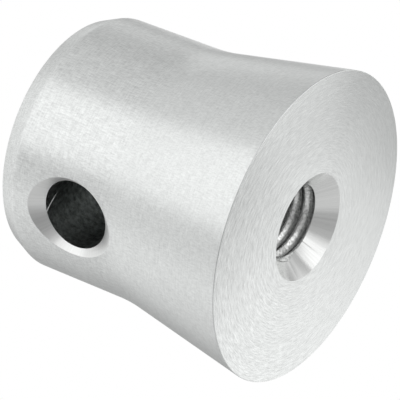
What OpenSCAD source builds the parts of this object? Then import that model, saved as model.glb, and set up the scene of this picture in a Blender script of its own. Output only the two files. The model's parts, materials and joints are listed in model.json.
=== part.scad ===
// Half coupler for aluminium truss beams, turned in one piece from solid bar.
// The wide face seats on a plate and takes a bolt in the threaded hole along the axis.
// The nose goes into the end of a truss tube and is held there by a pin across it.
// Millimetres. Origin at the centre of the wide face, +Z towards the nose.

/* [Body] */
// Diameter of the wide seating face
base_d = 44; // [42:0.5:47]
// Diameter of the straight nose
nose_d = 36.4; // [34:0.2:38]
// Length from the seating face to the end of the nose
total_h = 38.5; // [38:0.5:42]
// Height at which the flare meets the straight nose
flare_h = 20.3; // [17:0.1:20.6]
// Length of the taper at the end of the nose
lead_h = 2.7; // [1:0.1:3.5]
// How far that taper comes in on the radius
lead_inset = 1.2; // [0.4:0.1:2]
// Edge break round the seating face
edge_break = 0.3; // [0.1:0.1:0.8]

/* [Pin hole] */
// Diameter of the hole across the nose
pin_hole_d = 10; // [8:0.1:11]
// Distance of the pin hole from the end of the nose
pin_hole_inset = 12.1; // [10:0.1:12.5]
// Depth of the countersink at each end of the pin hole
pin_csk_depth = 1.7; // [0.5:0.1:2.2]
// Included angle of the pin hole's countersinks
pin_csk_angle = 90; // [60:5:100]

/* [Threaded hole] */
// Nominal diameter of the thread
thread_d = 12; // [8:1:12]
// Pitch of the thread
thread_pitch = 1.75; // [1.25:0.25:1.75]
// Depth of the drilled hole, without the drill's tip
drill_depth = 17; // [12:0.5:17]
// Diameter of the countersink at the seating face
thread_csk_d = 15.2; // [13.5:0.1:18]
// Included angle of that countersink
thread_csk_angle = 90; // [80:5:120]

/* [Hidden] */
$fn = 128;
base_r = base_d / 2;
nose_r = nose_d / 2;
pin_hole_r = pin_hole_d / 2;
pin_hole_z = total_h - pin_hole_inset;
pin_csk_foot = nose_r - pin_csk_depth;
tap_drill_r = (thread_d - thread_pitch) / 2; // the thread is a plain bore at its crests
thread_csk_depth = (thread_csk_d / 2 - tap_drill_r) / tan(thread_csk_angle / 2);
drill_tip_angle = 118;
drill_tip_h = tap_drill_r / tan(drill_tip_angle / 2);
overcut = 1; // how far a cutter runs past the surface that it opens

// Outline of the turned blank, from the axis outwards and up
module blank() {
    rotate_extrude()
        polygon([
            [0, 0],
            [base_r - edge_break, 0],
            [base_r, edge_break],
            [nose_r, flare_h],
            [nose_r, total_h - lead_h],
            [nose_r - lead_inset, total_h],
            [0, total_h]
        ]);
}

// A cone of radius r at z = 0 that opens upwards for a length h
module countersink(r, h, angle) {
    cylinder(h = h, r1 = r, r2 = r + h * tan(angle / 2));
}

// The pin hole right through the nose along Y, countersunk at both ends
module pin_hole() {
    translate([0, 0, pin_hole_z]) {
        rotate([90, 0, 0])
            cylinder(h = nose_d + 2 * overcut, r = pin_hole_r, center = true);
        for (side = [-90, 90])
            rotate([side, 0, 0])
                translate([0, 0, pin_csk_foot])
                    countersink(pin_hole_r, pin_csk_depth + overcut, pin_csk_angle);
    }
}

// The blind hole for the thread, with its countersink and the drill's tip
module threaded_hole() {
    translate([0, 0, -overcut])
        cylinder(h = drill_depth + overcut, r = tap_drill_r);
    translate([0, 0, drill_depth])
        cylinder(h = drill_tip_h, r1 = tap_drill_r, r2 = 0);
    translate([0, 0, thread_csk_depth])
        mirror([0, 0, 1])
            countersink(tap_drill_r, thread_csk_depth + overcut, thread_csk_angle);
}

module coupler_body() {
    color([0.80, 0.81, 0.82])
        difference() {
            blank();
            pin_hole();
            threaded_hole();
        }
}

coupler_body();
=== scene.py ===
import bmesh
import bpy
import json
from math import cos, pi, radians, sin
from mathutils import Matrix, Vector


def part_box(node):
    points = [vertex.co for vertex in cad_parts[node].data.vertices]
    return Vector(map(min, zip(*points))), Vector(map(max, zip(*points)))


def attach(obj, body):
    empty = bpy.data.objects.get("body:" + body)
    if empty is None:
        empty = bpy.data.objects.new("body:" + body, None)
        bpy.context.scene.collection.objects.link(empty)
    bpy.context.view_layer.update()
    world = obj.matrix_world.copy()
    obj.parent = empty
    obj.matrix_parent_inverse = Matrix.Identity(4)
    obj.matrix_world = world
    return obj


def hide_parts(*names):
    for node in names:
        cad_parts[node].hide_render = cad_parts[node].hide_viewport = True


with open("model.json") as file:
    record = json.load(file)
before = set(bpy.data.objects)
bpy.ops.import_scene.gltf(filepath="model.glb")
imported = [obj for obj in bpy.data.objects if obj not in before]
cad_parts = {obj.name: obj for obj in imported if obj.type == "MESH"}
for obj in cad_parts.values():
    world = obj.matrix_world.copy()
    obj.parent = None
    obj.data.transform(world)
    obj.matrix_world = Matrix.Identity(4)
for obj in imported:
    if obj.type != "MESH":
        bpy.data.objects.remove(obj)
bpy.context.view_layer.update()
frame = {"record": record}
mounts = {mount["name"]: mount for mount in frame["record"]["mounts"]}
mm = 0.001


def addNode(tree, kind, settings=None, links=None):
    node = tree.nodes.new(kind)
    for key, value in (settings or {}).items():
        if isinstance(key, str) and hasattr(node, key):
            setattr(node, key, value)
        else:
            node.inputs[key].default_value = value
    for key, socket in (links or {}).items():
        tree.links.new(socket, node.inputs[key])
    return node


def hexToLinear(code):
    parts = [int(code[i:i + 2], 16) / 255 for i in (1, 3, 5)]
    return [p / 12.92 if p <= 0.04045 else ((p + 0.055) / 1.055) ** 2.4 for p in parts] + [1.0]


# materials

def newMaterial(name):
    material = bpy.data.materials.new(name)
    material.use_nodes = True
    tree = material.node_tree
    tree.nodes.clear()
    return material, tree


streaks = {"Scale": 1.0, "Detail": 2.0, "Roughness": 0.6}  # for noise whose place is already stretched
mottling = {"Detail": 3.0, "Roughness": 0.6}
quarterTurn = 0.25  # tangents run along the tool marks, and the light spreads across them


turnedSettings = {
    "colour": "#E0E2E1",  # bare 6000-series aluminium, fresh from the lathe
    "roughness": 0.36,
    "anisotropic": 0.65,
    # rings run round the part and drags along it; a real feed of about 0.1 mm is too fine to show,
    # so both are drawn coarser
    "ringPitch": 0.16 * mm, "ringLength": 1.2 * mm, "ringDepth": 0.003 * mm, "ringShade": 0.4,
    "dragWidth": 0.17 * mm, "dragLength": 0.8 * mm, "dragDepth": 0.004 * mm, "dragShade": 0.6,
    "bloomSize": 1.6 * mm, "bloomShade": 0.06,
    # the flare was cut last, with a finer feed, so its marks are fainter up to the waist
    "flareShare": 0.75, "waistFrom": 20 * mm, "waistTo": 20.4 * mm,
}


def turnedAluminium():
    # tool marks run round the part, so light spreads along its axis in one long soft band
    s = turnedSettings
    material, tree = newMaterial("turnedAluminium")
    place = addNode(tree, "ShaderNodeTexCoord").outputs["Object"]
    ringPlace = addNode(tree, "ShaderNodeMapping", {
        "Scale": (1 / s["ringLength"], 1 / s["ringLength"], 1 / s["ringPitch"])}, {"Vector": place})
    rings = addNode(tree, "ShaderNodeTexNoise", streaks, {"Vector": ringPlace.outputs[0]})
    dragPlace = addNode(tree, "ShaderNodeMapping", {
        "Scale": (1 / s["dragWidth"], 1 / s["dragWidth"], 1 / s["dragLength"])}, {"Vector": place})
    drags = addNode(tree, "ShaderNodeTexNoise", streaks, {"Vector": dragPlace.outputs[0]})
    bloom = addNode(tree, "ShaderNodeTexNoise", {"Scale": 1 / s["bloomSize"], "Detail": 3.0},
                    {"Vector": place})
    ringBump = addNode(tree, "ShaderNodeBump", {"Distance": s["ringDepth"]}, {"Height": rings.outputs[0]})
    dragBump = addNode(tree, "ShaderNodeBump", {"Distance": s["dragDepth"]},
                       {"Height": drags.outputs[0], "Normal": ringBump.outputs[0]})
    height = addNode(tree, "ShaderNodeSeparateXYZ", links={0: place})
    share = addNode(tree, "ShaderNodeMapRange", {
        "From Min": s["waistFrom"], "From Max": s["waistTo"], "To Min": s["flareShare"]},
        {"Value": height.outputs["Z"]})
    # the marks darken as much as they lighten, so their strength doesn't change the mean tone
    marks = addNode(tree, "ShaderNodeMath", {
        "operation": "MULTIPLY_ADD", 1: s["ringShade"], 2: -(s["ringShade"] + s["dragShade"]) / 2},
        {0: rings.outputs[0]})
    marks = addNode(tree, "ShaderNodeMath", {"operation": "MULTIPLY_ADD", 1: s["dragShade"]},
                    {0: drags.outputs[0], 2: marks.outputs[0]})
    marks = addNode(tree, "ShaderNodeMath", {"operation": "MULTIPLY"},
                    {0: marks.outputs[0], 1: share.outputs[0]})
    shade = addNode(tree, "ShaderNodeMath", {"operation": "MULTIPLY_ADD", 1: s["bloomShade"]},
                    {0: bloom.outputs[0], 2: marks.outputs[0]})
    shade = addNode(tree, "ShaderNodeMath", {"operation": "ADD", 1: 1 - s["bloomShade"] / 2},
                    {0: shade.outputs[0]})
    colour = addNode(tree, "ShaderNodeVectorMath", {"operation": "SCALE", 0: hexToLinear(s["colour"])[:3]},
                     {"Scale": shade.outputs[0]})
    around = addNode(tree, "ShaderNodeVectorMath", {"operation": "CROSS_PRODUCT", 0: (0, 0, 1)}, {1: place})
    shader = addNode(tree, "ShaderNodeBsdfPrincipled", {
        "Metallic": 1.0, "Roughness": s["roughness"],
        "Anisotropic": s["anisotropic"], "Anisotropic Rotation": quarterTurn,
    }, {"Base Color": colour.outputs[0], "Normal": dragBump.outputs[0], "Tangent": around.outputs[0]})
    addNode(tree, "ShaderNodeOutputMaterial", links={"Surface": shader.outputs[0]})
    return material


facedSettings = {
    "colour": "#E0E2E1",
    "roughness": 0.24,
    "anisotropic": 0.8,
    # a real feed of about 0.1 mm is too fine to show, so the rings are drawn coarser
    "waves": {"pitch": 0.42 * mm, "length": 7 * mm, "depth": 0.003 * mm, "shade": 0.08},
    "rings": {"pitch": 0.16 * mm, "length": 1.3 * mm, "depth": 0.003 * mm, "shade": 0.6},
    "roughSide": (-0.35, -0.94, 0),  # the cut tore a little more on this side
    "roughFrom": -12 * mm, "roughTo": 15 * mm, "leastShare": 0.6, "mostShare": 1.5,
}


def facedAluminium():
    # a facing cut leaves rings that close in on the hole
    s = facedSettings
    material, tree = newMaterial("facedAluminium")
    place = addNode(tree, "ShaderNodeTexCoord").outputs["Object"]
    flat = addNode(tree, "ShaderNodeVectorMath", {"operation": "MULTIPLY", 1: (1, 1, 0)}, {0: place})
    radius = addNode(tree, "ShaderNodeVectorMath", {"operation": "LENGTH"}, {0: flat.outputs[0]})
    side = addNode(tree, "ShaderNodeVectorMath", {"operation": "DOT_PRODUCT", 1: s["roughSide"]}, {0: place})
    torn = addNode(tree, "ShaderNodeMapRange", {
        "From Min": s["roughFrom"], "From Max": s["roughTo"],
        "To Min": s["leastShare"], "To Max": s["mostShare"]}, {"Value": side.outputs["Value"]})
    normal, shade = None, None
    for cut in (s["waves"], s["rings"]):
        drift = addNode(tree, "ShaderNodeVectorMath", {"operation": "SCALE", "Scale": 1 / cut["length"]},
                        {0: flat.outputs[0]})
        across = addNode(tree, "ShaderNodeMath", {"operation": "DIVIDE", 1: cut["pitch"]},
                         {0: radius.outputs["Value"]})
        up = addNode(tree, "ShaderNodeCombineXYZ", links={"Z": across.outputs[0]})
        ringPlace = addNode(tree, "ShaderNodeVectorMath", {"operation": "ADD"},
                            {0: drift.outputs[0], 1: up.outputs[0]})
        rings = addNode(tree, "ShaderNodeTexNoise", streaks, {"Vector": ringPlace.outputs[0]})
        bump = addNode(tree, "ShaderNodeBump", {"Distance": cut["depth"]},
                       {"Height": rings.outputs[0]} | ({"Normal": normal} if normal else {}))
        marks = addNode(tree, "ShaderNodeMapRange", {
            "clamp": False, "To Min": -cut["shade"] / 2, "To Max": cut["shade"] / 2},
            {"Value": rings.outputs[0]})
        marks = addNode(tree, "ShaderNodeMath", {"operation": "MULTIPLY_ADD", 2: 1.0},
                        {0: marks.outputs[0], 1: torn.outputs[0]})
        shade = addNode(tree, "ShaderNodeMath", {"operation": "MULTIPLY", 1: 1.0},
                        {0: marks.outputs[0]} | ({1: shade} if shade else {})).outputs[0]
        normal = bump.outputs[0]
    colour = addNode(tree, "ShaderNodeVectorMath", {"operation": "SCALE", 0: hexToLinear(s["colour"])[:3]},
                     {"Scale": shade})
    around = addNode(tree, "ShaderNodeVectorMath", {"operation": "CROSS_PRODUCT", 0: (0, 0, 1)}, {1: place})
    shader = addNode(tree, "ShaderNodeBsdfPrincipled", {
        "Metallic": 1.0, "Roughness": s["roughness"],
        "Anisotropic": s["anisotropic"], "Anisotropic Rotation": quarterTurn,
    }, {"Base Color": colour.outputs[0], "Normal": normal, "Tangent": around.outputs[0]})
    addNode(tree, "ShaderNodeOutputMaterial", links={"Surface": shader.outputs[0]})
    return material


countersinkSettings = {
    "colour": "#EEEFEE",
    "roughness": 0.23,
    "handRoughness": 0.33,  # the pin hole's mouths are deburred by hand
    "anisotropic": 0.8,
    "chatterWidth": 0.35 * mm,  # a spoke's width on the middle of the cone
    "coneRadius": 6 * mm,
    "chatterDepth": 0.002 * mm,
    "shade": 0.3,
}


def countersunkAluminium(name, axis, centre, roughness):
    # the cutter rubs its cone bright round the hole, and chatter leaves faint spokes across it
    s = countersinkSettings
    material, tree = newMaterial(name)
    place = addNode(tree, "ShaderNodeTexCoord").outputs["Object"]
    away = addNode(tree, "ShaderNodeVectorMath", {"operation": "SUBTRACT", 1: centre}, {0: place})
    around = addNode(tree, "ShaderNodeVectorMath", {"operation": "CROSS_PRODUCT", 0: axis},
                     {1: away.outputs[0]})
    spoke = addNode(tree, "ShaderNodeVectorMath", {"operation": "NORMALIZE"}, {0: around.outputs[0]})
    spokePlace = addNode(tree, "ShaderNodeVectorMath", {
        "operation": "SCALE", "Scale": s["coneRadius"] / s["chatterWidth"]}, {0: spoke.outputs[0]})
    chatter = addNode(tree, "ShaderNodeTexNoise", streaks, {"Vector": spokePlace.outputs[0]})
    bump = addNode(tree, "ShaderNodeBump", {"Distance": s["chatterDepth"]}, {"Height": chatter.outputs[0]})
    shade = addNode(tree, "ShaderNodeMapRange", {
        "clamp": False, "To Min": 1 - s["shade"] / 2, "To Max": 1 + s["shade"] / 2},
        {"Value": chatter.outputs[0]})
    colour = addNode(tree, "ShaderNodeVectorMath", {"operation": "SCALE", 0: hexToLinear(s["colour"])[:3]},
                     {"Scale": shade.outputs[0]})
    shader = addNode(tree, "ShaderNodeBsdfPrincipled", {
        "Metallic": 1.0, "Roughness": roughness,
        "Anisotropic": s["anisotropic"], "Anisotropic Rotation": quarterTurn,
    }, {"Base Color": colour.outputs[0], "Normal": bump.outputs[0], "Tangent": around.outputs[0]})
    addNode(tree, "ShaderNodeOutputMaterial", links={"Surface": shader.outputs[0]})
    return material


drilledSettings = {
    "colour": "#ABAEAD",
    "roughness": 0.32,
    "mottleSize": 0.7 * mm,
    "mottleDepth": 0.04 * mm,
    "mottleFrom": 0.35, "mottleTo": 0.65, "least": 0.6, "most": 1.4,
    # the drill scored the wall as it was drawn out, from the near mouth inwards, and a painted highlight
    # brightens the colour along the score
    "scoreAngle": 105, "scoreSlope": 8,  # degrees, and degrees for each millimetre inwards
    "scoreLength": 3.4 * mm, "scoreFade": 1.7 * mm,
    # painted highlight: the line's near-white colour, far brighter than the wall's
    "scoreHalf": 0.16 * mm, "scoreHighlightColour": "#F4F5F4", "scoreTilt": 1.0,
}


def drilledAluminium(centre, radius, mouth):
    # a drilled wall is fairly smooth, and dark because it sees only itself
    s = drilledSettings
    material, tree = newMaterial("drilledAluminium")
    place = addNode(tree, "ShaderNodeTexCoord").outputs["Object"]
    mottle = addNode(tree, "ShaderNodeTexNoise", mottling | {"Scale": 1 / s["mottleSize"]},
                     {"Vector": place})
    away = addNode(tree, "ShaderNodeVectorMath", {"operation": "SUBTRACT", 1: centre}, {0: place})
    parts = addNode(tree, "ShaderNodeSeparateXYZ", links={0: away.outputs[0]})
    angle = addNode(tree, "ShaderNodeMath", {"operation": "ARCTAN2"},
                    {0: parts.outputs["Z"], 1: parts.outputs["X"]})
    # the line's own angle, which falls as it runs inwards from the mouth
    slope = radians(s["scoreSlope"]) / mm
    line = addNode(tree, "ShaderNodeMath", {
        "operation": "MULTIPLY_ADD", 1: -slope, 2: radians(s["scoreAngle"]) - slope * mouth},
        {0: parts.outputs["Y"]})
    off = addNode(tree, "ShaderNodeMath", {"operation": "SUBTRACT"},
                  {0: angle.outputs[0], 1: line.outputs[0]})
    off = addNode(tree, "ShaderNodeMath", {"operation": "ABSOLUTE"}, {0: off.outputs[0]})
    across = addNode(tree, "ShaderNodeMapRange", {
        "From Min": s["scoreHalf"] / radius, "From Max": 0.0}, {"Value": off.outputs[0]})
    along = addNode(tree, "ShaderNodeMapRange", {
        "From Min": s["scoreLength"] - mouth, "From Max": s["scoreLength"] - s["scoreFade"] - mouth},
        {"Value": parts.outputs["Y"]})
    scoreAndHighlight = addNode(tree, "ShaderNodeMath", {"operation": "MULTIPLY"},
                    {0: across.outputs[0], 1: along.outputs[0]})
    bump = addNode(tree, "ShaderNodeBump", {"Distance": s["mottleDepth"]}, {"Height": mottle.outputs[0]})
    shade = addNode(tree, "ShaderNodeMapRange", {
        "From Min": s["mottleFrom"], "From Max": s["mottleTo"], "To Min": s["least"], "To Max": s["most"]},
        {"Value": mottle.outputs[0]})
    wall = addNode(tree, "ShaderNodeVectorMath", {"operation": "SCALE", 0: hexToLinear(s["colour"])[:3]},
                   {"Scale": shade.outputs[0]})
    # painted highlight: along the line the colour turns near white
    colour = addNode(tree, "ShaderNodeMix", {"data_type": "VECTOR", 5: hexToLinear(s["scoreHighlightColour"])[:3]},
                     {0: scoreAndHighlight.outputs[0], 4: wall.outputs[0]})
    # the score's wall leans towards the mouth and catches its light
    lean = addNode(tree, "ShaderNodeVectorMath", {"operation": "SCALE", 0: (0, -s["scoreTilt"], 0)},
                   {"Scale": scoreAndHighlight.outputs[0]})
    leant = addNode(tree, "ShaderNodeVectorMath", {"operation": "ADD"},
                    {0: bump.outputs[0], 1: lean.outputs[0]})
    normal = addNode(tree, "ShaderNodeVectorMath", {"operation": "NORMALIZE"}, {0: leant.outputs[0]})
    shader = addNode(tree, "ShaderNodeBsdfPrincipled", {"Metallic": 1.0, "Roughness": s["roughness"]},
                     {"Base Color": colour.outputs[1], "Normal": normal.outputs[0]})
    addNode(tree, "ShaderNodeOutputMaterial", links={"Surface": shader.outputs[0]})
    return material


tappedSettings = {
    "colour": "#F0F1F0",
    "paintedRootShade": 0.45,  # painted shade: the share of the colour left in the thread's roots
    "rootShadeFrom": 5.6 * mm, "rootShadeTo": 5.9 * mm,
    "roughness": 0.26,
    "anisotropic": 0.8,
    "tornSize": 0.4 * mm,
    "tornDepth": 0.018 * mm,
    "tornFrom": 0.35, "tornTo": 0.6, "least": 0.62, "most": 1.1,
}


def tappedAluminium():
    # tapped flanks are torn a little, and painted shade darkens the colour towards the thread's roots
    s = tappedSettings
    material, tree = newMaterial("tappedAluminium")
    place = addNode(tree, "ShaderNodeTexCoord").outputs["Object"]
    flat = addNode(tree, "ShaderNodeVectorMath", {"operation": "MULTIPLY", 1: (1, 1, 0)}, {0: place})
    radius = addNode(tree, "ShaderNodeVectorMath", {"operation": "LENGTH"}, {0: flat.outputs[0]})
    torn = addNode(tree, "ShaderNodeTexNoise", mottling | {"Scale": 1 / s["tornSize"]}, {"Vector": place})
    bump = addNode(tree, "ShaderNodeBump", {"Distance": s["tornDepth"]}, {"Height": torn.outputs[0]})
    # painted shade: the colour darkens from the crests into the roots
    depth = addNode(tree, "ShaderNodeMapRange", {
        "From Min": s["rootShadeFrom"], "From Max": s["rootShadeTo"], "To Min": 1.0, "To Max": s["paintedRootShade"]},
        {"Value": radius.outputs["Value"]})
    marks = addNode(tree, "ShaderNodeMapRange", {
        "From Min": s["tornFrom"], "From Max": s["tornTo"], "To Min": s["least"], "To Max": s["most"]},
        {"Value": torn.outputs[0]})
    shade = addNode(tree, "ShaderNodeMath", {"operation": "MULTIPLY"},
                    {0: depth.outputs[0], 1: marks.outputs[0]})
    colour = addNode(tree, "ShaderNodeVectorMath", {"operation": "SCALE", 0: hexToLinear(s["colour"])[:3]},
                     {"Scale": shade.outputs[0]})
    around = addNode(tree, "ShaderNodeVectorMath", {"operation": "CROSS_PRODUCT", 0: (0, 0, 1)}, {1: place})
    shader = addNode(tree, "ShaderNodeBsdfPrincipled", {
        "Metallic": 1.0, "Roughness": s["roughness"],
        "Anisotropic": s["anisotropic"], "Anisotropic Rotation": quarterTurn,
    }, {"Base Color": colour.outputs[0], "Normal": bump.outputs[0], "Tangent": around.outputs[0]})
    addNode(tree, "ShaderNodeOutputMaterial", links={"Surface": shader.outputs[0]})
    return material


# shapes

mergeGap = 1e-7  # metres
sliver = 1e-6  # metres, shorter edges go, and points this near a ring lie on it


def spunMesh(outline, segments):
    # outline is (radius, height) pairs in metres, spun round Z into a closed skin
    mesh = bmesh.new()
    corners = [mesh.verts.new((r, 0, z)) for r, z in outline]
    for a, b in zip(corners, corners[1:]):
        mesh.edges.new((a, b))
    bmesh.ops.spin(mesh, geom=mesh.verts[:] + mesh.edges[:], axis=(0, 0, 1), cent=(0, 0, 0),
                   angle=2 * pi, steps=segments, use_merge=True)
    bmesh.ops.remove_doubles(mesh, verts=mesh.verts, dist=mergeGap)
    bmesh.ops.recalc_face_normals(mesh, faces=mesh.faces)
    return mesh


def ringEdges(mesh, radius, height):
    def onRing(v):
        return abs(v.co.z - height) < sliver and abs(v.co.xy.length - radius) < sliver
    return [e for e in mesh.edges if all(onRing(v) for v in e.verts)]


def newPiece(name, mesh, materials):
    data = bpy.data.meshes.new(name)
    mesh.to_mesh(data)
    mesh.free()
    piece = bpy.data.objects.new(name, data)
    bpy.context.scene.collection.objects.link(piece)
    for material in materials:
        data.materials.append(material)
    return piece


def cutAway(piece, cutter):
    cut = piece.modifiers.new("cut", "BOOLEAN")
    cut.object = cutter
    cut.solver = "EXACT"
    cut.material_mode = "TRANSFER"
    bpy.context.view_layer.update()
    depsgraph = bpy.context.evaluated_depsgraph_get()
    result = bpy.data.meshes.new_from_object(piece.evaluated_get(depsgraph))
    piece.modifiers.clear()
    mesh = bmesh.new()
    mesh.from_mesh(result)
    bmesh.ops.dissolve_degenerate(mesh, edges=mesh.edges, dist=sliver)
    mesh.to_mesh(result)
    mesh.free()
    old = piece.data
    piece.data = result
    bpy.data.meshes.remove(old)
    bpy.data.objects.remove(cutter)


low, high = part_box("coupler_body")
nose = mounts["nose"]
pinHole = mounts["pin_hole"]
thread = mounts["bolt_thread"]

bodySizes = {
    "segments": 288,
    "baseRadius": (high.x - low.x) / 2,
    "height": high.z,
    "noseRadius": nose["dims"]["r_mm"] * mm,
    "noseMiddle": nose["pos_m"][2],
    "noseLength": nose["dims"]["length_mm"] * mm,
    "leadInset": 1.2 * mm,
    "rimRound": 0.15 * mm,
    "waistRound": 1.9 * mm,
    "shoulderRound": 0.25 * mm,
    "roundSegments": 5,
    "squareness": 0.999,  # a face that points along Z at least this squarely was faced
    "sharpAngle": 25,  # degrees
}


def blank(materials):
    s = bodySizes
    flareTop = s["noseMiddle"] - s["noseLength"] / 2
    shoulder = s["noseMiddle"] + s["noseLength"] / 2
    endRadius = s["noseRadius"] - s["leadInset"]
    mesh = spunMesh([
        (0, 0),
        (s["baseRadius"], 0),
        (s["noseRadius"], flareTop),
        (s["noseRadius"], shoulder),
        (endRadius, s["height"]),
        (0, s["height"]),
    ], s["segments"])
    rounds = [
        (s["baseRadius"], 0, s["rimRound"]),
        (s["noseRadius"], flareTop, s["waistRound"]),
        (s["noseRadius"], shoulder, s["shoulderRound"]),
        (endRadius, s["height"], s["shoulderRound"]),
    ]
    for radius, height, size in rounds:
        bmesh.ops.bevel(mesh, geom=ringEdges(mesh, radius, height), offset=size,
                        segments=s["roundSegments"], affect="EDGES", profile=0.5, material=-1)
    for face in mesh.faces:
        if abs(face.normal.z) > s["squareness"]:
            face.material_index = 1
    return newPiece("couplerBody", mesh, materials)


pinHoleSizes = {
    "segments": 128,
    "radius": pinHole["dims"]["r_mm"] * mm,
    "length": pinHole["dims"]["length_mm"] * mm,
    "height": pinHole["pos_m"][2],
    # the countersink opens out a little as it rises, as a hand-held deburring tool leaves it
    "mouth": [(out * mm, up * mm) for out, up in (
        (0, 0), (0.3, 0.32), (0.6, 0.62), (0.9, 0.91), (1.2, 1.19), (1.5, 1.46), (1.8, 1.71), (2.2, 2.02),
        (3.8, 3.1))],
}


def pinHoleCutter(materials):
    s = pinHoleSizes
    foot = s["length"] / 2
    half = [(s["radius"] + out, foot + up) for out, up in s["mouth"]]
    end = half[-1][1]
    mesh = spunMesh([(0, -end)] + [(r, -z) for r, z in reversed(half)] + half + [(0, end)], s["segments"])
    for face in mesh.faces:
        if abs(face.calc_center_median().z) > foot:
            face.material_index = 1
    bmesh.ops.rotate(mesh, verts=mesh.verts, cent=(0, 0, 0), matrix=Matrix.Rotation(pi / 2, 3, "X"))
    bmesh.ops.translate(mesh, verts=mesh.verts, vec=(0, 0, s["height"]))
    return newPiece("pinHoleCutter", mesh, materials)


threadSizes = {
    "segments": 96,
    "drillSegments": 192,
    "crestRadius": thread["dims"]["r_mm"] * mm,
    "pitch": 1.75 * mm,
    "mouthRadius": 7.6 * mm,
    "drillDepth": 17 * mm,
    "tipHeight": 3.08 * mm,
    "grooveStart": 0.93 * mm,
    "grooveEnd": 15.2 * mm,
    # radius and half width of the groove, from its rolled lip to its rounded root; its flanks open to
    # nearly 80 degrees, where a standard thread's open to 60, and so catch the light as torn ones do
    "section": [(r * mm, z * mm) for r, z in (
        (4.9, 0.868), (5.11, 0.85), (5.15, 0.79), (5.22, 0.71), (5.35, 0.58), (5.5, 0.45), (5.66, 0.33),
        (5.8, 0.235), (5.88, 0.15), (5.91, 0))],
    "runIn": 0.9,  # turns over which the groove reaches its full depth
    "overcut": 1 * mm,
}


def drilledHoleCutter(materials):
    s = threadSizes
    foot = s["mouthRadius"] - s["crestRadius"]
    mesh = spunMesh([
        (0, -s["overcut"]),
        (s["mouthRadius"] + s["overcut"], -s["overcut"]),
        (s["crestRadius"], foot),
        (s["crestRadius"], s["drillDepth"]),
        (0, s["drillDepth"] + s["tipHeight"]),
    ], s["drillSegments"])
    for face in mesh.faces:
        if face.calc_center_median().z < foot:
            face.material_index = 1
    return newPiece("drilledHoleCutter", mesh, materials)


def screwedMesh(section, turn, rise, steps):
    # section is (radius, height) pairs, screwed round Z into a closed skin
    mesh = bmesh.new()
    face = mesh.faces.new([mesh.verts.new((r, 0, z)) for r, z in section])
    bmesh.ops.spin(mesh, geom=[face] + face.edges[:] + face.verts[:], axis=(0, 0, 1), cent=(0, 0, 0),
                   angle=turn, steps=steps, dvec=(0, 0, rise / steps))
    bmesh.ops.recalc_face_normals(mesh, faces=mesh.faces)
    if mesh.calc_volume(signed=True) < 0:
        bmesh.ops.reverse_faces(mesh, faces=mesh.faces)
    return mesh


def grooveCutter(materials):
    # one groove section with rounded lips and root, screwed up the hole as a tap does
    s = threadSizes
    turns = (s["grooveEnd"] - s["grooveStart"]) / s["pitch"]
    half = s["section"]
    section = [(r, s["grooveStart"] + z) for r, z in half]
    section += [(r, s["grooveStart"] - z) for r, z in reversed(half) if z]
    mesh = screwedMesh(section, 2 * pi * turns, s["pitch"] * turns, round(turns * s["segments"]))
    mesh.verts.index_update()
    # the tap's lead cuts the groove's first part shallower
    for v in mesh.verts:
        turn = v.index // len(section) / s["segments"]
        reach = v.co.xy.length - s["crestRadius"]
        if turn < s["runIn"] and reach > 0:
            v.co.xy *= 1 - reach * (1 - turn / s["runIn"]) / v.co.xy.length
    return newPiece("grooveCutter", mesh, materials)


turned = turnedAluminium()
faced = facedAluminium()
threadMouth = countersunkAluminium(
    "countersunkAluminium", (0, 0, 1), (0, 0, 0), countersinkSettings["roughness"])
pinCentre = (0, 0, pinHoleSizes["height"])
pinMouth = countersunkAluminium(
    "deburredAluminium", (0, 1, 0), pinCentre, countersinkSettings["handRoughness"])
drilled = drilledAluminium(pinCentre, pinHoleSizes["radius"], pinHoleSizes["length"] / 2)
tapped = tappedAluminium()
print("finishes ready")

body = blank([turned, faced])
print("blank turned")
cutAway(body, pinHoleCutter([drilled, pinMouth]))
print("pin hole cut")
cutAway(body, drilledHoleCutter([tapped, threadMouth]))
print("threaded hole drilled")
cutAway(body, grooveCutter([tapped]))
print("thread cut")
body.data.shade_smooth()
body.data.set_sharp_from_angle(angle=radians(bodySizes["sharpAngle"]))
print("faces", len(body.data.polygons), [m.name for m in body.data.materials])
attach(body, "root")
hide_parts("coupler_body")

# stage

floorSettings = {
    "size": 3.0,
    "gap": 0.02 * mm,
    "colour": "#F4F4F4",
}


def whiteFloor():
    # white paper that only the camera sees, and only from above, so that the studio's cards stand
    # below the metal too; it still takes the shadow
    s = floorSettings
    mesh = bmesh.new()
    bmesh.ops.create_grid(mesh, x_segments=1, y_segments=1, size=s["size"] / 2)
    bmesh.ops.translate(mesh, verts=mesh.verts, vec=(0, 0, low.z - s["gap"]))
    material, tree = newMaterial("whitePaper")
    paper = addNode(tree, "ShaderNodeBsdfDiffuse", {"Color": hexToLinear(s["colour"])})
    clear = addNode(tree, "ShaderNodeBsdfTransparent")
    ray = addNode(tree, "ShaderNodeLightPath").outputs["Is Camera Ray"]
    under = addNode(tree, "ShaderNodeNewGeometry").outputs["Backfacing"]
    seen = addNode(tree, "ShaderNodeMath", {"operation": "SUBTRACT", "use_clamp": True}, {0: ray, 1: under})
    mix = addNode(tree, "ShaderNodeMixShader",
                  links={0: seen.outputs[0], 1: clear.outputs[0], 2: paper.outputs[0]})
    addNode(tree, "ShaderNodeOutputMaterial", links={"Surface": mix.outputs[0]})
    floor = newPiece("floor", mesh, [material])


whiteFloor()

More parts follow.
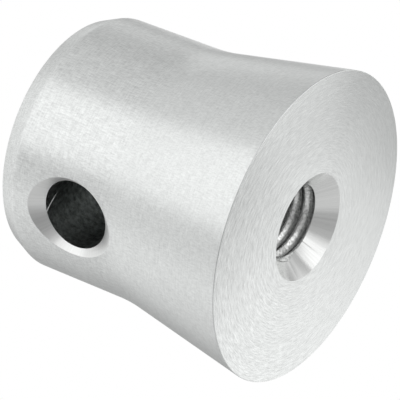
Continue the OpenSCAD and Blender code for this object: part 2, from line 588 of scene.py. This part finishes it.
studioSettings = {
    "room": 0.46,  # what the metal sees where no card stands
    "fill": 0.9,  # what a matt surface sees
    # azimuth, elevation, full inside, none outside (degrees), level; apart from three widths, these and
    # the room's level are the rounded result of a least-squares fit to the metal's tones in the photo
    "cards": {
        "backWall": (179, -56, 8, 54, 0.69),
        "backBright": (137, -25, 11, 13, 1.47),
        "sideCard": (-153, 38, 13, 66, 1.08),
        "backShade": (144, 18, 6, 50, 0.40),
        "rightCard": (-33, 55, 26, 77, 0.79),
        "topCard": (-71, 76, 25, 27, 0.95),
        "rearLine": (77, 41, 7, 18, 0.95),
        "cameraShade": (-89, -36, 17, 32, 0.26),
        "underCard": (88, -44, 19, 27, 1.22),
        "rearEdge": (142, -19, 17, 19, 1.13),
        "rearGlow": (99, 12, 15, 17, 1.23),
        "lowSide": (-159, -3, 14, 52, 0.58),
    },
}


def pointing(azimuth, elevation):
    a, e = radians(azimuth), radians(elevation)
    return Vector((cos(e) * cos(a), cos(e) * sin(a), sin(e)))


def studioWorld():
    s = studioSettings
    world = bpy.data.worlds.new("studio")
    bpy.context.scene.world = world
    world.use_nodes = True
    tree = world.node_tree
    tree.nodes.clear()
    way = addNode(tree, "ShaderNodeTexCoord").outputs["Generated"]
    level = addNode(tree, "ShaderNodeValue")
    level.outputs[0].default_value = s["room"]
    for azimuth, elevation, inner, outer, brightness in s["cards"].values():
        facing = addNode(tree, "ShaderNodeVectorMath", {
            "operation": "DOT_PRODUCT", 1: pointing(azimuth, elevation)}, {0: way})
        inside = addNode(tree, "ShaderNodeMapRange", {
            "interpolation_type": "SMOOTHSTEP",
            "From Min": cos(radians(outer)), "From Max": cos(radians(inner))},
            {"Value": facing.outputs["Value"]})
        level = addNode(tree, "ShaderNodeMix", {"data_type": "FLOAT", 3: brightness},
                        {0: inside.outputs[0], 2: level.outputs[0]})
    ray = addNode(tree, "ShaderNodeLightPath")
    seen = addNode(tree, "ShaderNodeMath", {"operation": "MAXIMUM"},
                   {0: ray.outputs["Is Camera Ray"], 1: ray.outputs["Is Transmission Ray"]})
    glossy = addNode(tree, "ShaderNodeMix", {"data_type": "FLOAT", 2: s["fill"]},
                     {0: ray.outputs["Is Glossy Ray"], 3: level.outputs[0]})
    shown = addNode(tree, "ShaderNodeMix", {"data_type": "FLOAT", 3: 1.0},
                    {0: seen.outputs[0], 2: glossy.outputs[0]})
    back = addNode(tree, "ShaderNodeBackground", {"Color": (1, 1, 1, 1)}, {"Strength": shown.outputs[0]})
    addNode(tree, "ShaderNodeOutputWorld", links={"Surface": back.outputs[0]})


studioWorld()

softboxSettings = {
    "distance": 0.7,
    # azimuth, elevation (degrees), width, height (metres), radiance (1 is as bright as the background);
    # from the same fit, apart from lowLight's direction
    "boxes": {
        "frontLight": (-47, 22, 0.71, 0.92, 0.45),
        "lowLight": (17, -57, 0.47, 0.58, 0.73),
    },
}


def softboxes():
    s = softboxSettings
    middle = Vector((0, 0, high.z / 2))
    for name, (azimuth, elevation, width, height, radiance) in s["boxes"].items():
        light = bpy.data.lights.new(name, "AREA")
        light.shape = "RECTANGLE"
        light.size = width
        light.size_y = height
        light.energy = radiance * pi * width * height
        lamp = bpy.data.objects.new(name, light)
        bpy.context.scene.collection.objects.link(lamp)
        lamp.location = middle + pointing(azimuth, elevation) * s["distance"]
        lamp.rotation_euler = (middle - lamp.location).to_track_quat("-Z", "Y").to_euler()
        lamp.visible_camera = False


softboxes()
print("stage lit")

cameraSettings = {
    # from a fit of the camera to the part's outline and holes
    "target": Vector((-2.12, -0.31, 17.43)) * mm,
    "azimuth": -53.565,
    "elevation": -28.989,
    "roll": -68.534,
    "distance": 444.3 * mm,
    "lens": 293.9,
    "sensorWidth": 36,
    "clipEnd": 20,
}


def lowCamera():
    s = cameraSettings
    data = bpy.data.cameras.new("camera")
    data.sensor_width = s["sensorWidth"]
    data.lens = s["lens"]
    data.clip_end = s["clipEnd"]
    back = pointing(s["azimuth"], s["elevation"])
    camera = bpy.data.objects.new("camera", data)
    bpy.context.scene.collection.objects.link(camera)
    camera.location = s["target"] + back * s["distance"]
    level = back.to_track_quat("Z", "Y").to_matrix()
    camera.rotation_euler = (level @ Matrix.Rotation(radians(s["roll"]), 3, "Z")).to_euler()
    bpy.context.scene.camera = camera


lowCamera()
print("camera set")
bpy.context.scene.view_settings.view_transform = "Standard"
